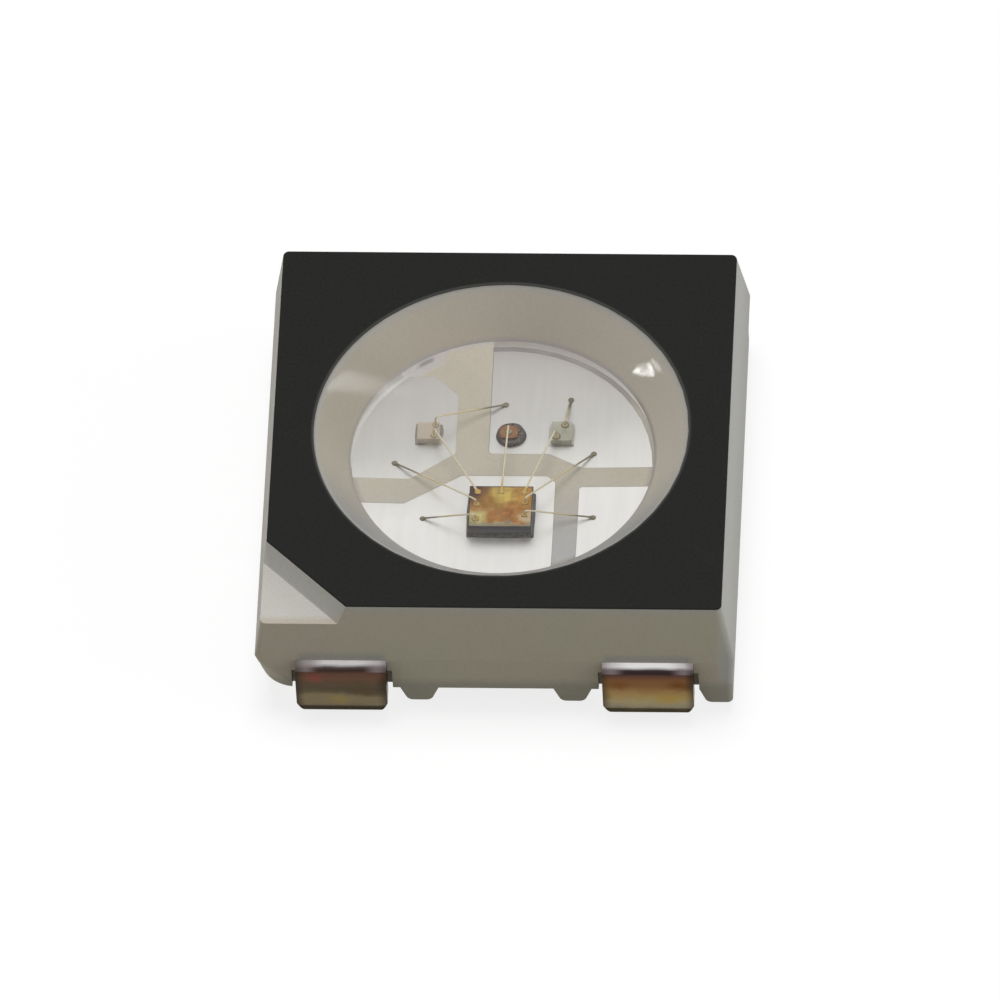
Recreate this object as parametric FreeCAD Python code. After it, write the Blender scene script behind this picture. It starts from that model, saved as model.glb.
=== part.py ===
"""Surface-mount colour LED: moulded housing, leadframe, dies, bond wires and clear fill.

Millimetres. +Z is up, the board is the plane Z = 0, and the origin lies under the middle
of the package. The side with the cut corner, where the GND and DIN leads are, faces -Y.
"""
import math
import os
import FreeCAD
import Part

V = FreeCAD.Vector
UP = V(0, 0, 1)

# Housing, moulded white resin
body_width = 5.0            # square plan at the parting line
body_height = 1.6           # board to top face
top_draft = 0.115           # how far each side leans in, from the parting line to the top
base_draft = 0.03           # and to the underside
standoff = 0.35             # underside of the housing above the board
edge_round = 0.06           # upright corners
pin_corner_round = 0.38     # corner of the underside below the notch
print_thickness = 0.02      # black print on the top face

# Notch that marks the corner by the GND lead
notch_leg = 0.87            # along each top edge
notch_depth = 0.26
notch_slope = 0.1           # how far the foot of its wall stands out

# Ribs and gate mark of the underside
rib_height = 0.2
rib_tip = 0.24
rib_base = 0.4
inner_rib_pitch = 1.6
outer_rib_tip = 0.27         # outer side upright, in line with the wall
outer_rib_base = 0.34
pin_rib_setback = 1.1       # the rib at the notch starts this far in
gate_radius = 0.5
gate_depth = 0.05

# Cup and its clear fill
cup_depth = 0.75            # top face to leadframe
rim_width = 0.415           # flat rim between the cup and the edge of the top face
cup_taper = 0.35            # how much the radius shrinks down to the floor
fill_drop = 0.015           # edge of the fill below the top face
fill_sag = 0.1              # middle of the fill below its edge

# Leads, stamped from one sheet
sheet = 0.2
lead_pitch = 3.2
lead_width = 0.95
lead_reach = 0.15           # beyond the parting line
shoulder_radius = 0.25      # outside of the upper bend
heel_radius = 0.3           # outside of the lower bend
foot_length = 1.0           # folded under the body
foot_neck = 0.3             # below this height a tail narrows
foot_inset = 0.12           # by this much on each side
recess_gap = 0.05           # housing clear of each side of a tail
island_reach = 1.85         # islands run this far out, under the cup wall
stamp_corner = 0.04         # outline corners
lock_radius = 1.6           # resin-filled groove round the cup floor
lock_shift = -0.12          # its centre along Y
lock_width = 0.05
lock_depth = 0.04

# Channels between the islands: middle and width
back_split_x, back_split = -0.33, 0.35
front_split_x, front_split = 0.7, 0.25
middle_y, middle_split = -0.08, 0.3
left_y, left_split = -0.46, 0.34
right_y, right_split = -0.25, 0.26

# Slanted edges of the islands
dout_slant = 0.47           # along X
dout_top_corner = 0.25
dout_shoulder = 1.4         # bottom edge to top edge
vdd_edge = 0.64             # bottom edge before its slant
vdd_slant = 0.36            # along X
gnd_slant = 0.6             # along X
gnd_top_edge = 1.0          # right corner back to the slant
gnd_top_corner = 0.09

# Dies
driver_width, driver_depth, driver_height = 0.67, 0.56, 0.25
blue_width, blue_depth, blue_height = 0.24, 0.24, 0.12
green_width, green_depth, green_height = 0.22, 0.26, 0.11
red_width, red_depth, red_height = 0.2, 0.17, 0.1

# Middles of the dies, from the right and back edges of the GND island, the right and front
# edges of the DOUT island, and the left and front edges of the VDD island
driver_in_x, driver_in_y = 0.56, 0.56
blue_in_x, blue_in_y = 0.29, 0.61
green_in_x, green_in_y = 0.77, 0.26
red_in_x, red_in_y = 0.21, 0.25

# Adhesives
attach_thickness = 0.03      # silver adhesive under the driver
clear_thickness = 0.01       # adhesive under the three light-emitting dies
attach_margin = 0.03         # adhesive squeezed out round a die
attach_climb = 0.05          # and up its sides
clear_climb = 0.03
blob_radius = 0.16           # silver adhesive round the red die
blob_top_radius = 0.13
blob_height = 0.075
blob_shift = 0.02            # along X from the middle of the red die

# Bond wires
wire_radius = 0.0125
wire_sides = 8
wire_bend = 0.06
low_loop = 0.14              # rise above the start
high_loop = 0.22
ball_radius = 0.035
ball_top_radius = 0.02
ball_height = 0.02

# Stitches on the islands: how far out from the inner edge and in from the other one
blue_stitch_x, blue_stitch_y = 0.16, 0.67
green_stitch_x, green_stitch_y = 0.85, 0.74
vdd_stitch_x = 1.12
dout_stitch_x, dout_stitch_y = 0.64, 0.21
gnd_stitch_x, gnd_stitch_y = 1.39, 0.61
din_stitch_wall = 0.34       # this one from the wall of the cup
din_stitch_bearing = -39.3

# Sizes and places that follow from those above
top_width = body_width - 2 * top_draft
base_width = body_width - 2 * base_draft
mouth_radius = top_width / 2 - rim_width
floor_radius = mouth_radius - cup_taper
floor_z = body_height - cup_depth
lead_x = lead_pitch / 2
outer_x = lead_x + lead_width / 2
tail_y = body_width / 2 + lead_reach
print_z = body_height - print_thickness
dout_right = back_split_x - back_split / 2
vdd_left = back_split_x + back_split / 2
gnd_right = front_split_x - front_split / 2
din_left = front_split_x + front_split / 2
dout_front = left_y + left_split / 2
gnd_left_top = left_y - left_split / 2
vdd_front = middle_y + middle_split / 2
gnd_back = middle_y - middle_split / 2
vdd_right_front = right_y + right_split / 2
din_back = right_y - right_split / 2


def prism(wire, height):
    return Part.Face(wire).extrude(UP * height)


def rounded_wire(points, radii):
    """Closed outline in one plane. Each corner has its own radius, or None if sharp."""
    arcs = []
    ends = []
    for i, corner in enumerate(points):
        if radii[i] is None:
            ends.append((corner, corner))
            continue
        to_last = (points[i - 1] - corner).normalize()
        to_next = (points[(i + 1) % len(points)] - corner).normalize()
        half = to_last.getAngle(to_next) / 2
        reach = radii[i] / math.tan(half)
        start = corner + to_last * reach
        end = corner + to_next * reach
        inward = (to_last + to_next).normalize()
        mid = corner + inward * (radii[i] / math.sin(half) - radii[i])
        arcs.append(Part.Arc(start, mid, end).toShape())
        ends.append((start, end))
    sides = [Part.LineSegment(ends[i - 1][1], ends[i][0]).toShape() for i in range(len(ends))]
    return Part.Wire(Part.__sortEdges__(sides + arcs))


def square_wire(width, z, pin_round=edge_round):
    half = width / 2
    corners = [V(-half, -half, z), V(half, -half, z), V(half, half, z), V(-half, half, z)]
    return rounded_wire(corners, [pin_round, edge_round, edge_round, edge_round])


def stamped(points):
    """Flat piece of the sheet, level with the cup floor, rounded at the corners that show."""
    corners = [V(x, y, floor_z - sheet) for x, y in points]
    shown = [math.hypot(x, y) < floor_radius for x, y in points]
    return prism(rounded_wire(corners, [stamp_corner if seen else None for seen in shown]), sheet)


def side_profile(points, x):
    """Closed wire of straight and three-point arc edges, given as (Y, Z) runs."""
    edges = []
    for run in points:
        knots = [V(x, y, z) for y, z in run]
        if len(knots) == 2:
            edges.append(Part.LineSegment(*knots).toShape())
        else:
            edges.append(Part.Arc(*knots).toShape())
    return Part.Wire(edges)


def arc_mid(centre, radius, degrees):
    angle = math.radians(degrees)
    return (centre[0] + radius * math.cos(angle), centre[1] + radius * math.sin(angle))


def lead_tail(x, side):
    """Neck, shoulder, upright and folded foot of one lead. side is -1 at the front."""
    inner_y = island_reach
    bend_y = tail_y - shoulder_radius
    shoulder = (bend_y, floor_z - shoulder_radius)
    heel = (tail_y - heel_radius, heel_radius)
    thin_shoulder = shoulder_radius - sheet
    thin_heel = heel_radius - sheet
    toe_y = tail_y - foot_length
    inner_face = tail_y - sheet
    runs = [
        [(inner_y, floor_z), (bend_y, floor_z)],
        [(bend_y, floor_z), arc_mid(shoulder, shoulder_radius, 45), (tail_y, shoulder[1])],
        [(tail_y, shoulder[1]), (tail_y, heel_radius)],
        [(tail_y, heel_radius), arc_mid(heel, heel_radius, -45), (heel[0], 0)],
        [(heel[0], 0), (toe_y, 0)],
        [(toe_y, 0), (toe_y, sheet)],
        [(toe_y, sheet), (heel[0], sheet)],
        [(heel[0], sheet), arc_mid(heel, thin_heel, -45), (inner_face, heel_radius)],
        [(inner_face, heel_radius), (inner_face, shoulder[1])],
        [(inner_face, shoulder[1]), arc_mid(shoulder, thin_shoulder, 45), (bend_y, floor_z - sheet)],
        [(bend_y, floor_z - sheet), (inner_y, floor_z - sheet)],
        [(inner_y, floor_z - sheet), (inner_y, floor_z)],
    ]
    left = x - lead_width / 2
    flipped = [[(side * y, z) for y, z in run] for run in runs]
    tail = Part.Face(side_profile(flipped, left)).extrude(V(lead_width, 0, 0))
    right = left + lead_width
    outline = [(left + foot_inset, 0), (right - foot_inset, 0), (right, foot_neck)]
    outline += [(right, floor_z), (left, floor_z), (left, foot_neck)]
    corners = [V(corner_x, -tail_y, z) for corner_x, z in outline]
    face = Part.Face(Part.makePolygon(corners + corners[:1]))
    return tail.common(face.extrude(V(0, 2 * tail_y, 0)))


def lock_groove():
    """Ring stamped into the top of the leads, where the resin grips them."""
    ring_z = floor_z - lock_depth
    centre = V(0, lock_shift, ring_z)
    outer = Part.makeCylinder(lock_radius + lock_width, lock_depth, centre)
    return outer.cut(Part.makeCylinder(lock_radius, lock_depth, centre))


def lead(points, x, side):
    whole = stamped(points).fuse(lead_tail(x, side)).removeSplitter()
    return whole.cut(lock_groove())


def leads():
    neck = lead_x - lead_width / 2
    reach = island_reach
    dout = [
        (-outer_x, dout_front),
        (dout_right - dout_slant, dout_front),
        (dout_right, vdd_front),
        (dout_right, dout_front + dout_shoulder - dout_top_corner),
        (dout_right - dout_top_corner, dout_front + dout_shoulder),
        (-neck, dout_front + dout_shoulder),
        (-neck, reach),
        (-outer_x, reach),
    ]
    vdd = [
        (vdd_left, vdd_front),
        (vdd_left + vdd_edge, vdd_front),
        (vdd_left + vdd_edge + vdd_slant, vdd_right_front),
        (outer_x, vdd_right_front),
        (outer_x, reach),
        (vdd_left, reach),
    ]
    gnd = [
        (gnd_right, gnd_back - gnd_top_corner),
        (gnd_right - gnd_top_corner, gnd_back),
        (gnd_right - gnd_top_edge, gnd_back),
        (gnd_right - gnd_top_edge - gnd_slant, gnd_left_top),
        (-outer_x, gnd_left_top),
        (-outer_x, -reach),
        (gnd_right, -reach),
    ]
    din = [
        (din_left, din_back),
        (din_left, -reach),
        (outer_x, -reach),
        (outer_x, din_back),
    ]
    return {
        "lead_dout": lead(dout, -lead_x, 1),
        "lead_vdd": lead(vdd, lead_x, 1),
        "lead_gnd": lead(gnd, -lead_x, -1),
        "lead_din": lead(din, lead_x, -1),
    }


def cup():
    """Cone of the cup, from the islands up to the top face."""
    return Part.makeCone(floor_radius, mouth_radius, cup_depth, V(0, 0, floor_z))


def notch():
    """Wedge off the top corner beside the GND lead. The foot of its wall stands out."""
    wall = (top_width - notch_leg) / math.sqrt(2)
    ledge_z = body_height - notch_depth
    section = [(wall, body_height), (body_width, body_height)]
    section += [(body_width, ledge_z), (wall + notch_slope, ledge_z)]
    outward = V(-1, -1, 0).normalize()
    across = V(1, -1, 0).normalize() * body_width
    points = [outward * s + UP * z - across / 2 for s, z in section]
    return Part.Face(Part.makePolygon(points + points[:1])).extrude(across)


def upper_body():
    """Drafted half above the parting line, with the cup and the notch."""
    outlines = [square_wire(body_width, floor_z), square_wire(top_width, body_height)]
    return Part.makeLoft(outlines, True, True).cut(cup()).cut(notch())


def print_layer():
    corner = V(-body_width / 2, -body_width / 2, print_z)
    return Part.makeBox(body_width, body_width, print_thickness, corner)


def rib(root, tip, front):
    """Standoff along Y to the back face, between the two sides of its root and of its tip."""
    tip_z = standoff - rib_height
    section = [V(root[0], front, standoff), V(tip[0], front, tip_z)]
    section += [V(tip[1], front, tip_z), V(root[1], front, standoff)]
    face = Part.Face(Part.makePolygon(section + section[:1]))
    return face.extrude(V(0, base_width / 2 - front, 0))


def ribs():
    """Four ribs under the body. The one under the notch stops short of its corner."""
    side = base_width / 2
    pin_root = (-side, outer_rib_base - side)
    pin_tip = (-side, outer_rib_tip - side)
    lines = [rib(pin_root, pin_tip, pin_rib_setback - side)]
    lines.append(rib((side - outer_rib_base, side), (side - outer_rib_tip, side), -side))
    for x in (-inner_rib_pitch / 2, inner_rib_pitch / 2):
        root = (x - rib_base / 2, x + rib_base / 2)
        lines.append(rib(root, (x - rib_tip / 2, x + rib_tip / 2), -side))
    footprint = prism(square_wire(base_width, standoff - rib_height), rib_height)
    return [line.common(footprint) for line in lines]


def lead_recess(x, side):
    """Space for a folded tail in the lower half of the side wall."""
    width = lead_width + 2 * recess_gap
    inner_y = tail_y - shoulder_radius
    depth = tail_y - inner_y
    y = inner_y if side > 0 else -tail_y
    return Part.makeBox(width, depth, floor_z - sheet, V(x - width / 2, y, 0))


def lower_body():
    """Drafted half below the parting line, with ribs, gate mark and lead recesses."""
    outlines = [square_wire(base_width, standoff, pin_corner_round)]
    outlines.append(square_wire(body_width, floor_z))
    body = Part.makeLoft(outlines, True, True)
    body = body.cut(Part.makeCylinder(gate_radius, gate_depth, V(0, 0, standoff)))
    recesses = [lead_recess(x, side) for x in (-lead_x, lead_x) for side in (-1, 1)]
    return body.cut(recesses).fuse(ribs())


def housing(upper, lead_solids):
    whole = upper.cut(print_layer()).fuse(lower_body()).removeSplitter()
    return whole.cut(lead_solids)


def fill():
    """Clear fill of the cup, bounded by its wall, its floor and a hollow surface."""
    edge_z = body_height - fill_drop
    slope = (mouth_radius - floor_radius) / cup_depth
    edge = floor_radius + slope * (edge_z - floor_z)
    middle_z = edge_z - fill_sag
    curve = (edge ** 2 + fill_sag ** 2) / (2 * fill_sag)
    half_z = middle_z + curve - math.sqrt(curve ** 2 - (edge / 2) ** 2)
    wall_foot = V(floor_radius, 0, floor_z)
    wall_top = V(edge, 0, edge_z)
    edges = [Part.LineSegment(V(0, 0, floor_z), wall_foot), Part.LineSegment(wall_foot, wall_top)]
    edges.append(Part.Arc(wall_top, V(edge / 2, 0, half_z), V(0, 0, middle_z)))
    edges.append(Part.LineSegment(V(0, 0, middle_z), V(0, 0, floor_z)))
    return Part.Face(Part.Wire([edge.toShape() for edge in edges])).revolve(V(), UP, 360)


# Each die: size, middle in plan, height of its underside
dies = {
    "driver_ic": (
        (driver_width, driver_depth, driver_height),
        (gnd_right - driver_in_x, gnd_back - driver_in_y),
        floor_z + attach_thickness,
    ),
    "blue_die": (
        (blue_width, blue_depth, blue_height),
        (dout_right - blue_in_x, dout_front + blue_in_y),
        floor_z + clear_thickness,
    ),
    "green_die": (
        (green_width, green_depth, green_height),
        (vdd_left + green_in_x, vdd_front + green_in_y),
        floor_z + clear_thickness,
    ),
    "red_die": (
        (red_width, red_depth, red_height),
        (vdd_left + red_in_x, vdd_front + red_in_y),
        floor_z + clear_thickness,
    ),
}


def rectangle(width, depth, middle, z):
    left = middle[0] - width / 2
    front = middle[1] - depth / 2
    corners = [V(left, front, z), V(left + width, front, z)]
    corners += [V(left + width, front + depth, z), V(left, front + depth, z)]
    return Part.makePolygon(corners + corners[:1])


def die(name):
    (width, depth, height), middle, z = dies[name]
    return prism(rectangle(width, depth, middle, z), height)


def adhesive(name, climb):
    """Layer under a die, with a sloping fillet round it."""
    (width, depth, _), middle, z = dies[name]
    low = rectangle(width + 2 * attach_margin, depth + 2 * attach_margin, middle, floor_z)
    high = rectangle(width, depth, middle, z + climb)
    return Part.makeLoft([low, high], True, True).cut(die(name))


def red_blob():
    middle = dies["red_die"][1]
    centre = V(middle[0] + blob_shift, middle[1], floor_z)
    return Part.makeCone(blob_radius, blob_top_radius, blob_height, centre).cut(die("red_die"))


def pad(name, across, along):
    """Point on the top of a die. The shares run from its left and front edges."""
    (width, depth, height), middle, z = dies[name]
    return V(middle[0] + (across - 0.5) * width, middle[1] + (along - 0.5) * depth, z + height)


def spot(x, y):
    return V(x, y, floor_z)


def ring(centre, radius):
    """Level outline with the wire's number of sides."""
    angles = [2 * math.pi * i / wire_sides for i in range(wire_sides)]
    rim = [centre + V(math.cos(a), math.sin(a), 0) * radius for a in angles]
    return Part.makePolygon(rim + rim[:1])


def ball(foot):
    """Squashed ball under either end of a wire."""
    crown = foot + UP * ball_height
    return Part.makeLoft([ring(foot, ball_radius), ring(crown, ball_top_radius)], True, True)


def bond_wire(start, end, loop):
    """Gold wire: it rises from its ball, bends over and runs straight to its stitch."""
    low = start + UP * ball_height / 2
    top = start + UP * loop
    stitch = end + UP * ball_height
    run = (stitch - top).normalize()
    turn = UP.getAngle(run)
    reach = wire_bend * math.tan(turn / 2)
    bend_start = top - UP * reach
    bend_end = top + run * reach
    inward = (run - UP).normalize()
    bend_mid = top + inward * (wire_bend / math.cos(turn / 2) - wire_bend)
    path = Part.Wire([
        Part.LineSegment(low, bend_start).toShape(),
        Part.Arc(bend_start, bend_mid, bend_end).toShape(),
        Part.LineSegment(bend_end, stitch).toShape(),
    ])
    tube = path.makePipeShell([ring(low, wire_radius)], True, False)
    return tube.fuse([ball(start), ball(end)]).removeSplitter()


def bond_wires():
    blue_spot = spot(vdd_left + blue_stitch_x, vdd_front + blue_stitch_y)
    green_spot = spot(vdd_left + green_stitch_x, vdd_front + green_stitch_y)
    vdd_spot = spot(vdd_left + vdd_stitch_x, vdd_front)
    dout_spot = spot(dout_right - dout_stitch_x, dout_front + dout_stitch_y)
    gnd_spot = spot(gnd_right - gnd_stitch_x, gnd_back - gnd_stitch_y)
    din_bearing = math.radians(din_stitch_bearing)
    din_reach = floor_radius - din_stitch_wall
    din_spot = spot(din_reach * math.cos(din_bearing), din_reach * math.sin(din_bearing))
    routes = {
        "wire_blue_vdd": (pad("blue_die", 0.8, 0.8), blue_spot, high_loop),
        "wire_blue_driver": (pad("blue_die", 0.75, 0.2), pad("driver_ic", 0.13, 0.86), high_loop),
        "wire_red_driver": (pad("red_die", 0.5, 0.5), pad("driver_ic", 0.5, 0.87), high_loop),
        "wire_green_vdd": (pad("green_die", 0.65, 0.8), green_spot, low_loop),
        "wire_green_driver": (pad("green_die", 0.25, 0.2), pad("driver_ic", 0.86, 0.86), high_loop),
        "wire_vdd": (pad("driver_ic", 0.88, 0.6), vdd_spot, low_loop),
        "wire_dout": (pad("driver_ic", 0.12, 0.55), dout_spot, low_loop),
        "wire_gnd": (pad("driver_ic", 0.12, 0.2), gnd_spot, low_loop),
        "wire_din": (pad("driver_ic", 0.88, 0.3), din_spot, low_loop),
    }
    return {name: bond_wire(*route) for name, route in routes.items()}


def build():
    lead_solids = leads()
    upper = upper_body()
    inner = {name: die(name) for name in dies}
    inner["attach_driver"] = adhesive("driver_ic", attach_climb)
    inner["attach_blue"] = adhesive("blue_die", clear_climb)
    inner["attach_green"] = adhesive("green_die", clear_climb)
    inner["attach_red"] = red_blob()
    inner.update(bond_wires())
    pieces = {
        "housing": housing(upper, list(lead_solids.values())),
        "top_mask": upper.common(print_layer()),
        "encapsulant": fill().cut(list(inner.values())),
    }
    pieces.update(lead_solids)
    pieces.update(inner)
    return pieces


os.makedirs("parts", exist_ok=True)
for name, shape in build().items():
    shape.exportStep("parts/" + name + ".step")
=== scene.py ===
"""Looks of the surface-mount colour LED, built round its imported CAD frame.

Meshes and materials are measured in millimetres, in the CAD frame. A mesh is scaled to metres
when it becomes a piece. A colour of three numbers is sRGB of 0 to 255, one of four numbers is
linear, and a single number is a linear grey.
"""
import math
import random
import bmesh
import bpy
from mathutils import Matrix, Vector, noise

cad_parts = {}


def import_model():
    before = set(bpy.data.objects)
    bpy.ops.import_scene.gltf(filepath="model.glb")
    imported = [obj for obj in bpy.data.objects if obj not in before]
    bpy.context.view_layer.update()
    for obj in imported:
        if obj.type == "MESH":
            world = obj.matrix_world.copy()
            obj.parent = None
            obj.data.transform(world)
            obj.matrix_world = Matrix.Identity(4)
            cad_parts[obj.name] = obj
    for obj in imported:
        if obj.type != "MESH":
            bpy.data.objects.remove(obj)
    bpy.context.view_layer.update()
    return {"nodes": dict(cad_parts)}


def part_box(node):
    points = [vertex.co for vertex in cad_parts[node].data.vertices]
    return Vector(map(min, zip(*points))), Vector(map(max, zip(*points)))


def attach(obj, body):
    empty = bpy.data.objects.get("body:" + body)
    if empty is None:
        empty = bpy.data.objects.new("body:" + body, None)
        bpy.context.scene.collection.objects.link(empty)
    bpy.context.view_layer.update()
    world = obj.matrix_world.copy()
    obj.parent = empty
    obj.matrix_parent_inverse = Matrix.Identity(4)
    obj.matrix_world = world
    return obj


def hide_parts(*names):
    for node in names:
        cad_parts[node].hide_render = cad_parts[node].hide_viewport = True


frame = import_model()

MM = 0.001
ORIGIN = Vector((0, 0, 0))
UP = Vector((0, 0, 1))
SAME, NEAR, ON_CONE = 1e-4, 1e-3, 2e-3      # tolerances
NOISE_BAND = (0.3, 0.7)                     # most of a noise texture's values lie in here
WIDE_BAND = (0.25, 0.75)

# Camera, from the photograph
AZIMUTH, ELEVATION, ROLL = 4.883, 50.915, -3.315
CAMERA_DISTANCE = 277.297
FOCAL_PIXELS, IMAGE_PIXELS = 26471.6, 1000
SENSOR = 36
AIM = Vector((0, 0, 0.8))
AIM_RIGHT, AIM_UP = 0.040, 0.240
CLIP_METRES = (0.01, 10)

# Lamps: name, direction, size, level, seen in gloss, fading to its edges.
# A level of 1 lights a white card to white.
LAMP_DISTANCE = 300
FADE_START, FADE_FULL = 0.5, 0.1            # distance from the middle, as a share of the size
LAMPS = [
    ("key", (-0.03, 0.18, 0.98), (140, 140), 0.55, False, False),
    ("side", (0.9, -0.1, 0.42), (160, 120), 0.16, False, False),
    ("window", (0.105, 0.5712, 0.8141), (66, 12), 0.0115, True, True),
]

# Small lamps whose mirror images make the sparkle on the fill: name, direction, size, strength
SPARK_RADIANCE = 34
SPARKS = [
    ("spark_dot", (-0.1595, 0.5637, 0.8105), (1.6, 1.1), 1.0),
    ("spark_bar", (-0.1705, 0.563, 0.809), (0.7, 4.2), 0.9),
    ("spark_base", (-0.1665, 0.5663, 0.8073), (2.2, 0.8), 0.75),
    ("spark_haze", (-0.166, 0.5615, 0.811), (4.0, 3.4), 0.12),
    ("spark_side", (-0.1812, 0.5555, 0.8119), (4.2, 5.6), 0.22),
]

# Sky and floor
SKY_LEVEL = 0.38
FLOOR_COLOUR = (0.36, 0.34, 0.27, 1)
FLOOR_GLOW, FLOOR_SEEN_GREY = 0.8, 0.24
FLOOR_HALF_METRES, FLOOR_CELLS = 1.5, 4

# Main heights and radii of the part
FLOOR_Z, TOP_Z = 0.85, 1.6
FLOOR_RADIUS, MOUTH_RADIUS = 1.62, 1.97
CUP_REACH = 2.0             # the whole cup is nearer to the middle than this
OUTSIDE_REACH = 2.15        # what is further out is outside of the cup and of its rim
UNDERSIDE_Z = 0.5           # what is lower belongs to the underside
RIB_FOOT_Z = 0.15
SIDE_X = 2.4                # rib edges this far out are flush with the side walls
TAIL_X, TAIL_Y = 1.6, 2.3   # middle of a tail, and where the tails begin
ISLAND_REACH = 1.6
FILL_EDGE_Z, FILL_SAG = 1.585, 0.1
LIP_HEIGHT, LIP_REACH = 0.006, 0.04
SET_IN = 0.006              # how far hidden faces run into their neighbours
ROUND_STEPS, FILL_STEPS = 160, 40

# Smooth lining that stands in front of the cup's facets: how far, from where it thins, how far at
# its top, how far its top is below the print, and how far its back is behind the facets
LINING, LINING_THINS_Z, LINING_TOP = 0.011, 1.4, 0.004
LINING_BELOW_PRINT, LINING_BACK = 0.021, 0.05

# Edges that are rounded: least turn in degrees, least length, lowest and highest place
LEAST_TURN = 25
LEAST_SHELL_EDGE, LEAST_TAIL_EDGE, LEAST_RIB_EDGE, UPRIGHT = 0.05, 0.03, 2, 0.02
SHELL_LOW_Z, SHELL_HIGH_Z = RIB_FOOT_Z + 0.06, TOP_Z - 0.03

# Roundings: width and segments
RIB_ROUND, SHELL_ROUND, PRINT_ROUND = (0.05, 4), (0.022, 3), (0.006, 2)
TAIL_ROUND, ISLAND_ROUND = (0.012, 2), (0.004, 1)
DIE_ROUND, PAD_ROUND = (0.004, 2), (0.003, 2)
DRIVER_CORNER, CHIP_CORNER, RED_CORNER = (0.004, 3), (0.012, 3), (0.03, 3)

# Turns in degrees: below which faces are one, and above which an edge stays sharp
FLAT_TURN = 0.5
SHARP_TURN, SHARP_WIRE_TURN, SHARP_PASTE_TURN = 35, 50, 60

# Bond wires: start, end and loop height, as in the CAD model
WIRES = {
    "wire_blue_vdd": ((-0.723, 0.392, 0.98), (0.005, 0.74, 0.85), 0.22),
    "wire_blue_driver": ((-0.735, 0.248, 0.98), (-0.233, -0.588, 1.13), 0.22),
    "wire_red_driver": ((0.055, 0.32, 0.96), (0.015, -0.583, 1.13), 0.22),
    "wire_green_vdd": ((0.648, 0.408, 0.97), (0.695, 0.81, 0.85), 0.14),
    "wire_green_driver": ((0.56, 0.252, 0.97), (0.256, -0.588, 1.13), 0.22),
    "wire_vdd": ((0.27, -0.734, 1.13), (0.965, 0.07, 0.85), 0.14),
    "wire_dout": ((-0.24, -0.762, 1.13), (-1.145, -0.08, 0.85), 0.14),
    "wire_gnd": ((-0.24, -0.958, 1.13), (-0.815, -0.84, 0.85), 0.14),
    "wire_din": ((0.27, -0.902, 1.13), (0.99, -0.811, 0.85), 0.14),
}
WIRE_RADIUS, WIRE_SIDES = 0.0105, 12
BEND = 0.07                 # length of the turn at the top of a wire
BEND_STEPS, RUN_STEPS = 14, 22
RISE_PULL, RUN_PULL, RUN_LIFT, STITCH_PULL = 0.75, 0.35, 0.012, 0.25
STITCH_RISE = 0.6           # a wire ends this high on its stitch bump, as a share of the ball
SQUASH_LENGTH = 0.1         # a wire is pressed flat this near to its end
SQUASH_SPREAD, SQUASH_THICKNESS = 1.1, 0.4
BALL_RADIUS, BALL_HEIGHT, BALL_STEPS = 0.033, 0.02, 20

# Ball and stitch bump, as shares of the ball's radius and height
BALL = [(0, 0), (0.86, 0), (1, 0.3), (1, 0.55), (0.8, 0.9), (0.45, 1), (0, 1)]
STITCH = [(0, 0), (0.9, 0), (1, 0.2), (0.85, 0.5), (0.5, 0.66), (0, 0.7)]

# Driver: bond pads in plan, and the made-up circuit blocks
DRIVER_PADS = [
    (-0.233, -0.588), (0.015, -0.583), (0.256, -0.588), (0.27, -0.734), (0.27, -0.902),
    (-0.24, -0.762), (-0.24, -0.958),
]
PAD_HALF, PAD_HEIGHT = 0.032, 0.005
DRIVER_SEED, DRIVER_MARGIN = 7, 0.012
SEAL_DEPTH, SEAL_HEIGHT, SEAL_TONE = 0.002, 0.001, 0.3
BLOCK_LEAST, BLOCK_LANE = 0.045, 0.003
BLOCK_SPLIT = (1.2, 2.6)    # a block longer than this many least sides is split
BLOCK_SHARE = (0.35, 0.65)
BLOCK_HEIGHT = (0.0015, 0.004)

# Round electrodes of the light-emitting dies: x, y, radius
ELECTRODES = {
    "blue_die": [(-0.723, 0.392, 0.036), (-0.735, 0.248, 0.036)],
    "green_die": [(0.648, 0.408, 0.044), (0.56, 0.252, 0.046)],
    "red_die": [(0.055, 0.32, 0.04)],
}
ELECTRODE_DEPTH, ELECTRODE_EDGE, ELECTRODE_HEIGHT = 0.001, 0.002, 0.0035
ELECTRODE_STEPS = 24

# Adhesives, as rings from the outside in: share outwards, and share of the climb or height
SKIRT = [(1.0, 0.0), (0.85, 0.3), (0.45, 0.7), (0.0, 1.0), (-0.5, 1.0)]
SKIRT_MARGIN, SKIRT_STEPS = 0.03, 72
SKIRT_LUMPS, SKIRT_LUMP_SCALE = 0.35, 1.7
DROP = [(1.0, 0.0), (0.99, 0.02), (0.95, 0.046), (0.86, 0.066), (0.72, 0.075), (0.4, 0.077)]
DROP_STEPS, DROP_LUMPS, DROP_LUMP_SCALE = 64, 0.06, 1.3
DROP_SEED, DROP_SEED_RISE = 4.0, 9

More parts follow.
